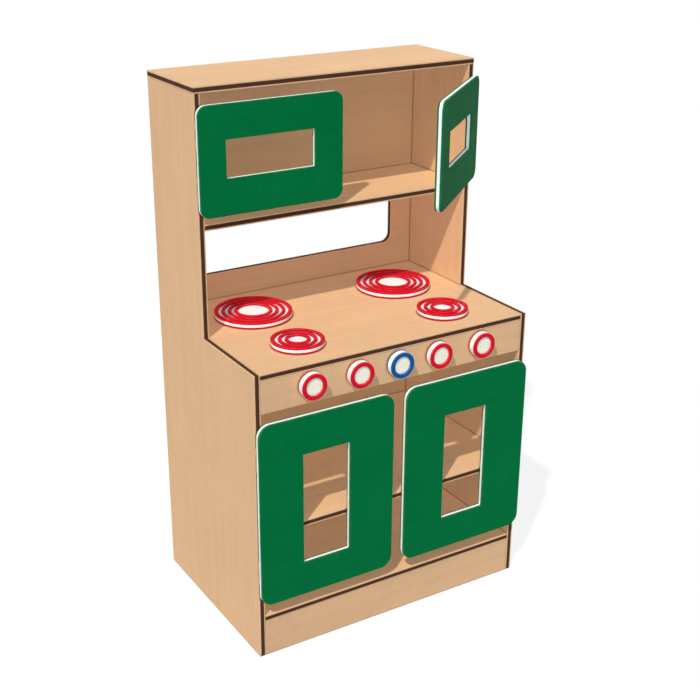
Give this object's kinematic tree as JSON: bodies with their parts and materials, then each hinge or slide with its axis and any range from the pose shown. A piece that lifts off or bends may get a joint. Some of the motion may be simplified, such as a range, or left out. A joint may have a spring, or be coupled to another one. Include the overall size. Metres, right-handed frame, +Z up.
{
  "type": "toy stove",
  "caption": "Play kitchen cut from coloured-core sheet: base cabinet with burners, knobs and windowed doors under a hutch with its own windowed doors.",
  "frame": {"origin": "on the floor, in the middle of the kick plate's bottom edge", "axes": "+X to the right as seen from the front, +Y to the back, +Z up"},
  "size_m": [0.6198, 0.4222, 1.063],
  "materials": {
    "tan_sheet": "lightly textured tan skins on a dark brown core",
    "green_sheet": "lightly textured green skins on a white core",
    "red_sheet": "lightly textured red skins on a white core",
    "blue_sheet": "lightly textured blue skins on a white core",
    "painted_steel": "tan powder coat",
    "bright_steel": "zinc plated",
    "nylon": "natural nylon"
  },
  "bodies": {
    "cabinet": {"left_side": "tan_sheet", "right_side": "tan_sheet", "top_panel": "tan_sheet", "back_panel": "tan_sheet", "counter": "tan_sheet", "control_panel": "tan_sheet", "hutch_shelf": "tan_sheet", "middle_shelf": "tan_sheet", "floor_panel": "tan_sheet", "kick_plate": "tan_sheet", "upper_left_door_hinge_1_side_leaf": "painted_steel", "upper_left_door_hinge_2_side_leaf": "painted_steel", "upper_right_door_hinge_1_side_leaf": "painted_steel", "upper_right_door_hinge_2_side_leaf": "painted_steel", "lower_left_door_hinge_1_side_leaf": "painted_steel", "lower_left_door_hinge_2_side_leaf": "painted_steel", "lower_right_door_hinge_1_side_leaf": "painted_steel", "lower_right_door_hinge_2_side_leaf": "painted_steel", "knob_washer_1": "nylon", "knob_washer_2": "nylon", "knob_washer_3": "nylon", "knob_washer_4": "nylon", "knob_washer_5": "nylon", "burner_back_left": "red_sheet", "burner_back_right": "red_sheet", "burner_front_left": "red_sheet", "burner_front_right": "red_sheet", "burner_back_left_screw_1": "bright_steel", "burner_back_left_screw_2": "bright_steel", "burner_back_right_screw_1": "bright_steel", "burner_back_right_screw_2": "bright_steel", "burner_front_left_screw_1": "bright_steel", "burner_front_left_screw_2": "bright_steel", "burner_front_right_screw_1": "bright_steel", "burner_front_right_screw_2": "bright_steel"},
    "upper_left": {"upper_left_door": "green_sheet", "upper_left_door_hinge_1_door_leaf": "painted_steel", "upper_left_door_hinge_2_door_leaf": "painted_steel"},
    "upper_right": {"upper_right_door": "green_sheet", "upper_right_door_hinge_1_door_leaf": "painted_steel", "upper_right_door_hinge_2_door_leaf": "painted_steel"},
    "lower_left": {"lower_left_door": "green_sheet", "lower_left_door_hinge_1_door_leaf": "painted_steel", "lower_left_door_hinge_2_door_leaf": "painted_steel"},
    "lower_right": {"lower_right_door": "green_sheet", "lower_right_door_hinge_1_door_leaf": "painted_steel", "lower_right_door_hinge_2_door_leaf": "painted_steel"},
    "knob_turning_1": {"knob_1": "red_sheet", "knob_bolt_1": "bright_steel"},
    "knob_turning_2": {"knob_2": "red_sheet", "knob_bolt_2": "bright_steel"},
    "knob_turning_3": {"knob_3": "blue_sheet", "knob_bolt_3": "bright_steel"},
    "knob_turning_4": {"knob_4": "red_sheet", "knob_bolt_4": "bright_steel"},
    "knob_turning_5": {"knob_5": "red_sheet", "knob_bolt_5": "bright_steel"}
  },
  "joints": [
    {"name": "upper_left_hinge", "type": "hinge", "parent": "cabinet", "child": "upper_left", "pos_m": [-0.305, 0.1965, 0.928], "axis": [0, 0, -1], "range_deg": [0, 170]},
    {"name": "upper_right_hinge", "type": "hinge", "parent": "cabinet", "child": "upper_right", "pos_m": [0.305, 0.1965, 0.928], "axis": [0, 0, 1], "range_deg": [-40.5, 129.5]},
    {"name": "lower_left_hinge", "type": "hinge", "parent": "cabinet", "child": "lower_left", "pos_m": [-0.305, -0.0065, 0.3069], "axis": [0, 0, -1], "range_deg": [0, 170]},
    {"name": "lower_right_hinge", "type": "hinge", "parent": "cabinet", "child": "lower_right", "pos_m": [0.305, -0.0065, 0.3069], "axis": [0, 0, 1], "range_deg": [0, 170]},
    {"name": "knob_turn_1", "type": "hinge", "parent": "cabinet", "child": "knob_turning_1", "pos_m": [-0.1905, -0.01, 0.55005], "axis": [0, -1, 0], "continuous": true},
    {"name": "knob_turn_2", "type": "hinge", "parent": "cabinet", "child": "knob_turning_2", "pos_m": [-0.0889, -0.01, 0.55005], "axis": [0, -1, 0], "continuous": true},
    {"name": "knob_turn_3", "type": "hinge", "parent": "cabinet", "child": "knob_turning_3", "pos_m": [0, -0.01, 0.55005], "axis": [0, -1, 0], "continuous": true},
    {"name": "knob_turn_4", "type": "hinge", "parent": "cabinet", "child": "knob_turning_4", "pos_m": [0.0889, -0.01, 0.55005], "axis": [0, -1, 0], "continuous": true},
    {"name": "knob_turn_5", "type": "hinge", "parent": "cabinet", "child": "knob_turning_5", "pos_m": [0.1905, -0.01, 0.55005], "axis": [0, -1, 0], "continuous": true}
  ]
}
